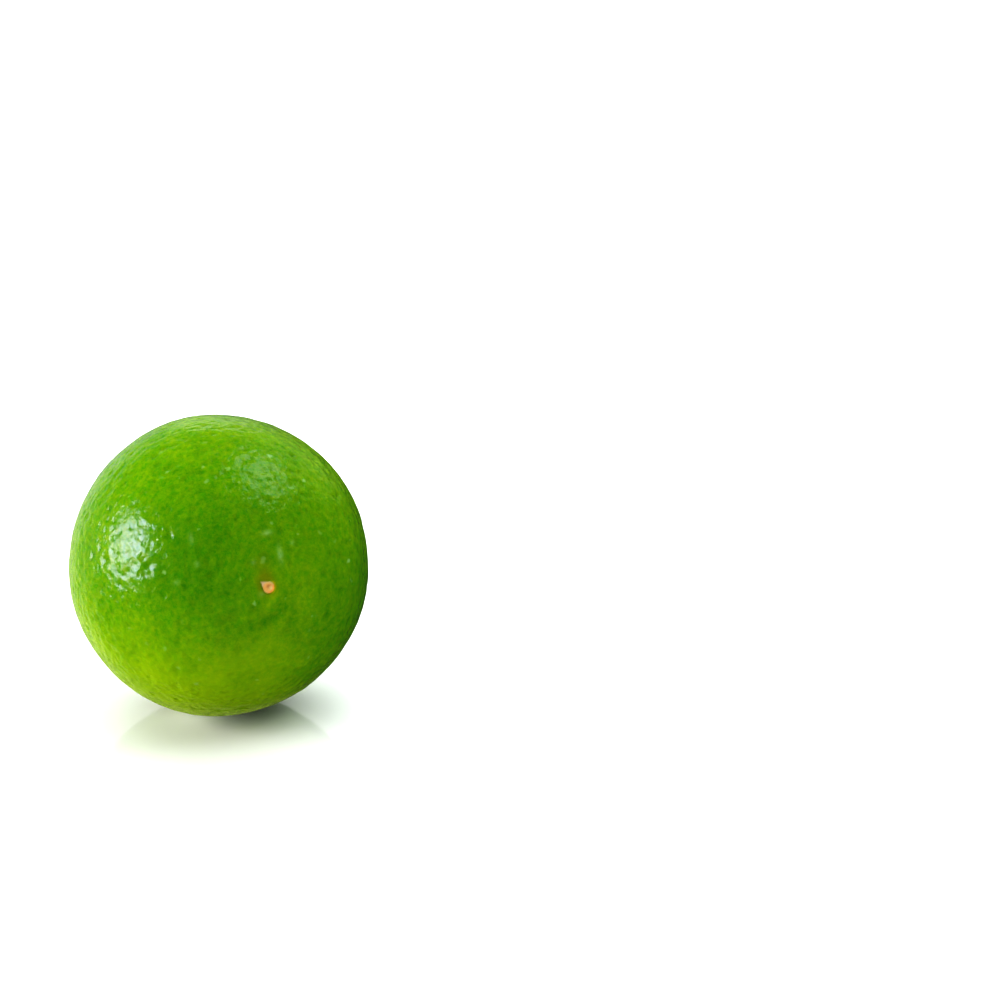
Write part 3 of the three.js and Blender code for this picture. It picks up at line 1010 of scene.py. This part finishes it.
# %% Soft boxes
def soft_box(name, direction, distance, width_degrees, height_degrees, radiance, tint):
    """A rectangular light that faces the lime, its width and height given as they look from there.

    A side is twice the distance times the tangent of half its angle. The power is the radiance times pi
    times the area, which is what a flat, evenly glowing surface gives off.
    """
    width = 2 * distance * math.tan(math.radians(width_degrees / 2))
    height = 2 * distance * math.tan(math.radians(height_degrees / 2))
    light = bpy.data.lights.new(name, "AREA")
    light.shape, light.size, light.size_y = "RECTANGLE", width, height
    light.energy = radiance * math.pi * width * height
    light.color = tint
    lamp = bpy.data.objects.new(name, light)
    away = Vector(direction).normalized()
    lamp.location = lime_middle + away * distance
    lamp.rotation_euler = away.to_track_quat("Z", "Y").to_euler()
    lamp.visible_camera = False
    bpy.context.scene.collection.objects.link(lamp)
    print(name, "watts:", round(light.energy, 1))
    return lamp


KEY_WAY, KEY_DISTANCE, KEY_WIDTH, KEY_HEIGHT = (-0.952, 0.147, 0.265), 2.0, 34, 33
KEY_RADIANCE, KEY_TINT = 10.7, (0.54, 0.49, 0.5)
FILL_DISTANCE, FILL_SIZE = 1.5, 50
ROOM_TINT = (0.92, 1.0, 0.95)
FILLS = {  # direction from the lime, radiance
    "top_fill": ((0.45, -0.05, 0.88), 1.4),
    "back_fill": ((0, 0.8, 0.7), 1.3),
    "left_fill": ((-0.7, -0.6, 0.35), 0.36),
}

soft_box("key_box", KEY_WAY, KEY_DISTANCE, KEY_WIDTH, KEY_HEIGHT, KEY_RADIANCE, KEY_TINT)
for name, (way, radiance) in FILLS.items():
    fill = soft_box(name, way, FILL_DISTANCE, FILL_SIZE, FILL_SIZE, radiance, ROOM_TINT)
    fill.visible_glossy = False

# %% [markdown]
# ## The room
#
# A glossy thing shows the room that it stands in. Walls and windows could be built, but the room is far
# away and never seen itself, so it is a light that depends only on the direction. Dull surfaces get an
# even glow. The gloss sees a dark room with soft-edged glows in it: dim ones for the walls and the table,
# a box overhead to the right, and two bright ones that widen the key box and soften its edge. The camera
# sees plain white.

# %% What the gloss mirrors
DARK_ROOM = (0.04, 0.04, 0.04)
MIRRORED = [  # aim, degrees from it where a glow is full and where it ends, colour
    ((-0.40, 0.90, -0.15), 10, 40, (0.25, 0.25, 0.36)),
    ((0.05, 0.95, 0.25), 10, 33, (0.26, 0.26, 0.34)),
    ((0.64, 0.68, 0.36), 7, 22, (0.18, 0.18, 0.16)),
    ((0.70, 0.46, 0.55), 12, 28, (0.45, 0.6, 0.24)),
    ((0.25, 0.91, 0.35), 6, 14, (0.45, 0.45, 0.4)),
    ((-0.20, 0.78, -0.60), 12, 42, (0.42, 0.5, 0.16)),
    ((0.443, -0.02, 0.872), 7, 22, (2.2, 2.3, 3.2)),
    ((-0.952, 0.172, 0.262), 16, 24, (0.8, 0.2, 3.6)),
    ((-0.955, 0.03, 0.305), 5, 15, (4.2, 3.6, 8.5)),
]

world = bpy.data.worlds.new("white_room")
bpy.context.scene.world = world
world.use_nodes = True
room = world.node_tree
seen_way = add_node(room, "ShaderNodeTexCoord", {}).outputs["Generated"]
mirrored = DARK_ROOM
for aim, full, end, tint in MIRRORED:
    aims = {0: seen_way, 1: Vector(aim).normalized()}
    facing = add_node(room, "ShaderNodeVectorMath", aims, operation="DOT_PRODUCT").outputs["Value"]
    edges = {"From Min": math.cos(math.radians(end)), "From Max": math.cos(math.radians(full))}
    glow = add_node(room, "ShaderNodeMapRange", {"Value": facing, **edges}, interpolation_type="SMOOTHSTEP")
    layers = {0: glow.outputs["Result"], 1: tint, 2: mirrored}
    mirrored = add_node(room, "ShaderNodeVectorMath", layers, operation="MULTIPLY_ADD").outputs[0]
print("glows in the gloss:", len(MIRRORED))

# %% Who sees which room
ROOM_GLOW = 0.6  # what the room adds to dull surfaces

rays = add_node(room, "ShaderNodeLightPath", {})
for_gloss = add_node(room, "ShaderNodeBackground", {"Color": mirrored}).outputs[0]
for_dull = add_node(room, "ShaderNodeBackground", {"Strength": ROOM_GLOW, "Color": ROOM_TINT}).outputs[0]
for_camera = add_node(room, "ShaderNodeBackground", {"Color": (1, 1, 1)}).outputs[0]
by_gloss = {0: rays.outputs["Is Glossy Ray"], 1: for_dull, 2: for_gloss}
for_fruit = add_node(room, "ShaderNodeMixShader", by_gloss).outputs[0]
by_camera = {0: rays.outputs["Is Camera Ray"], 1: for_fruit, 2: for_camera}
seen = add_node(room, "ShaderNodeMixShader", by_camera).outputs[0]
feed(room.nodes["World Output"], {"Surface": seen})
print("nodes of the room:", len(room.nodes))

# %% [markdown]
# ## Colour and the end
#
# The lights were set for a plain view of the colours with a strong contrast, which gives the deep, clean
# greens of a shop picture. The sizes of the imported model and of this one are printed side by side where
# the skin is set in its place.

# %% Colour of the picture
bpy.context.scene.view_settings.view_transform = "Standard"
bpy.context.scene.view_settings.look = "Very High Contrast"
print("look:", bpy.context.scene.view_settings.look)
